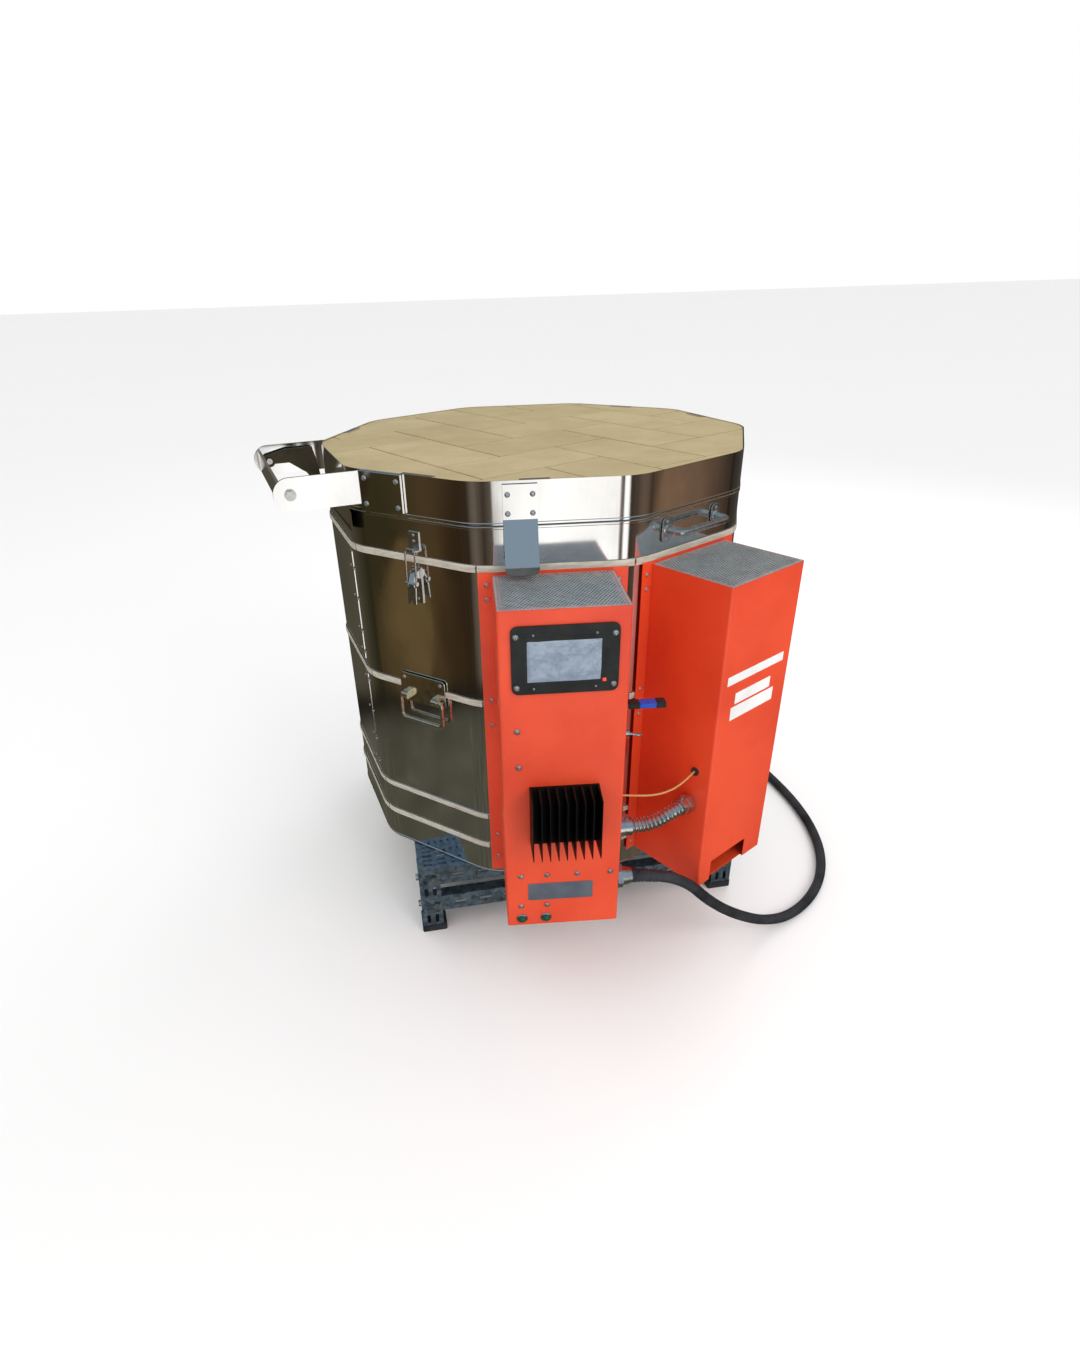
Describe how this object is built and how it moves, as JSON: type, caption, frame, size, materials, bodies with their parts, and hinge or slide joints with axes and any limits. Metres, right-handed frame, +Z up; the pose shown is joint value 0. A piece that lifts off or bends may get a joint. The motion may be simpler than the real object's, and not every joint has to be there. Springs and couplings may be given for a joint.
{
  "type": "electric kiln",
  "caption": "Top-loading electric pottery kiln: polygonal firebrick body in polished steel, hinged lid, wall-hung controller and junction boxes, steel stand, mains cord.",
  "frame": {"origin": "centre of the bounding box of the kiln, boxes, hinge and stand, cord left out, on the floor", "axes": "+Z up; the controller box faces -Y; the lid hinge is on the -X side and the lid opens up towards -X"},
  "size_m": [1.1291, 1.0349, 0.8666],
  "materials": {
    "zinc": "spangled galvanised",
    "stainless": "mirror polished sheet",
    "firebrick": "porous, chalky",
    "orange_paint": "fine-textured powder coat",
    "gasket_band": "dull grey-beige band",
    "black_plastic": "moulded, satin",
    "screen_film": "wrinkled protective film",
    "black_anodised": "black anodised",
    "bare_label": "satin blank plate",
    "lamp_green": "dark green lens in a chrome rim",
    "bright_steel": "bright plated",
    "rubber": "black rubber",
    "conduit_metal": "spiral galvanised strip",
    "lead_sleeve": "tan braided sleeve",
    "element_wire": "oxidised alloy wire",
    "porcelain": "white porcelain",
    "relay_case": "clear relay case",
    "memory_stick_plastic": "black and blue moulding"
  },
  "bodies": {
    "kiln": {"base_band": "stainless", "base_slab": "firebrick", "body_screws": "bright_steel", "box_back_plates": "orange_paint", "box_grilles": "zinc", "bricks_a": "firebrick", "bricks_b": "firebrick", "bricks_c": "firebrick", "bricks_d": "firebrick", "conduit": "conduit_metal", "conduit_connectors": "bright_steel", "controller_panel": "black_plastic", "cord_gland": "bright_steel", "element_terminals": "element_wire", "front_box_shell": "orange_paint", "heating_elements": "element_wire", "heatsink": "black_anodised", "hinge_bracket": "stainless", "jacket_a": "stainless", "jacket_b": "stainless", "jacket_c": "stainless", "jacket_d": "stainless", "joint_strips": "gasket_band", "label_plates": "bare_label", "latch_bases": "bright_steel", "latch_keepers": "bright_steel", "lead_grommet": "rubber", "lift_handle_plates": "bright_steel", "pilot_lamps": "lamp_green", "power_cord": "rubber", "power_plug": "rubber", "relays": "relay_case", "ring_pull_handle": "bright_steel", "side_box_shell": "orange_paint", "stand_bolts": "zinc", "stand_deck": "zinc", "stand_feet": "rubber", "stand_legs": "zinc", "stand_lower_rails": "zinc", "stand_upper_rails": "zinc", "terminal_block": "porcelain", "thermocouple_lead": "lead_sleeve", "thermocouple_tube": "porcelain", "toggle_base": "bright_steel", "touch_screen": "screen_film"},
    "lid": {"lid_slab": "firebrick", "lid_band": "stainless", "lid_straps": "stainless", "lid_strap_tips": "black_plastic", "hinge_yoke": "stainless", "hinge_pins": "bright_steel", "lid_screws": "bright_steel"},
    "latch_lever_front": {"latch_lever_front": "bright_steel"},
    "latch_lever_rear": {"latch_lever_rear": "bright_steel"},
    "latch_bail_front": {"latch_bail_front": "bright_steel"},
    "latch_bail_rear": {"latch_bail_rear": "bright_steel"},
    "lift_bail_front": {"lift_bail_front": "bright_steel"},
    "lift_bail_rear": {"lift_bail_rear": "bright_steel"},
    "toggle": {"toggle_bat": "bright_steel"},
    "memory_stick": {"memory_stick": "memory_stick_plastic"}
  },
  "joints": [
    {"name": "lid_hinge", "type": "hinge", "parent": "kiln", "child": "lid", "pos_m": [-0.37981, -0.04585, 0.84], "axis": [0.309, -0.9511, 0], "range_deg": [0, 100]},
    {"name": "latch_front_lever", "type": "hinge", "parent": "kiln", "child": "latch_lever_front", "pos_m": [-0.15803, -0.21421, 0.716], "axis": [-0.809, 0.5878, 0], "range_deg": [0, 120]},
    {"name": "latch_front_bail", "type": "hinge", "parent": "latch_lever_front", "child": "latch_bail_front", "pos_m": [-0.16215, -0.21987, 0.70388], "axis": [-0.809, 0.5878, 0], "range_deg": [-120, 0]},
    {"name": "lift_handle_front", "type": "hinge", "parent": "kiln", "child": "lift_bail_front", "pos_m": [-0.16656, -0.21234, 0.497], "axis": [-0.809, 0.5878, 0], "range_deg": [0, 95]},
    {"name": "latch_rear_lever", "type": "hinge", "parent": "kiln", "child": "latch_lever_rear", "pos_m": [0.27339, 0.40681, 0.716], "axis": [0.809, -0.5878, 0], "range_deg": [0, 120]},
    {"name": "latch_rear_bail", "type": "hinge", "parent": "latch_lever_rear", "child": "latch_bail_rear", "pos_m": [0.27751, 0.41247, 0.70388], "axis": [0.809, -0.5878, 0], "range_deg": [-120, 0]},
    {"name": "lift_handle_rear", "type": "hinge", "parent": "kiln", "child": "lift_bail_rear", "pos_m": [0.28192, 0.40494, 0.497], "axis": [0.809, -0.5878, 0], "range_deg": [0, 95]},
    {"name": "power_toggle", "type": "hinge", "parent": "kiln", "child": "toggle", "pos_m": [0.14568, -0.3987, 0.519], "axis": [0, -1, 0], "range_deg": [0, 24]},
    {"name": "memory_stick_slide", "type": "slide", "parent": "kiln", "child": "memory_stick", "axis": [1, 0, 0], "range_m": [0, 0.012]}
  ],
  "couplings": [
    {"joint": "latch_front_bail", "follows": "latch_front_lever", "ratio": -1},
    {"joint": "latch_rear_bail", "follows": "latch_rear_lever", "ratio": -1}
  ]
}
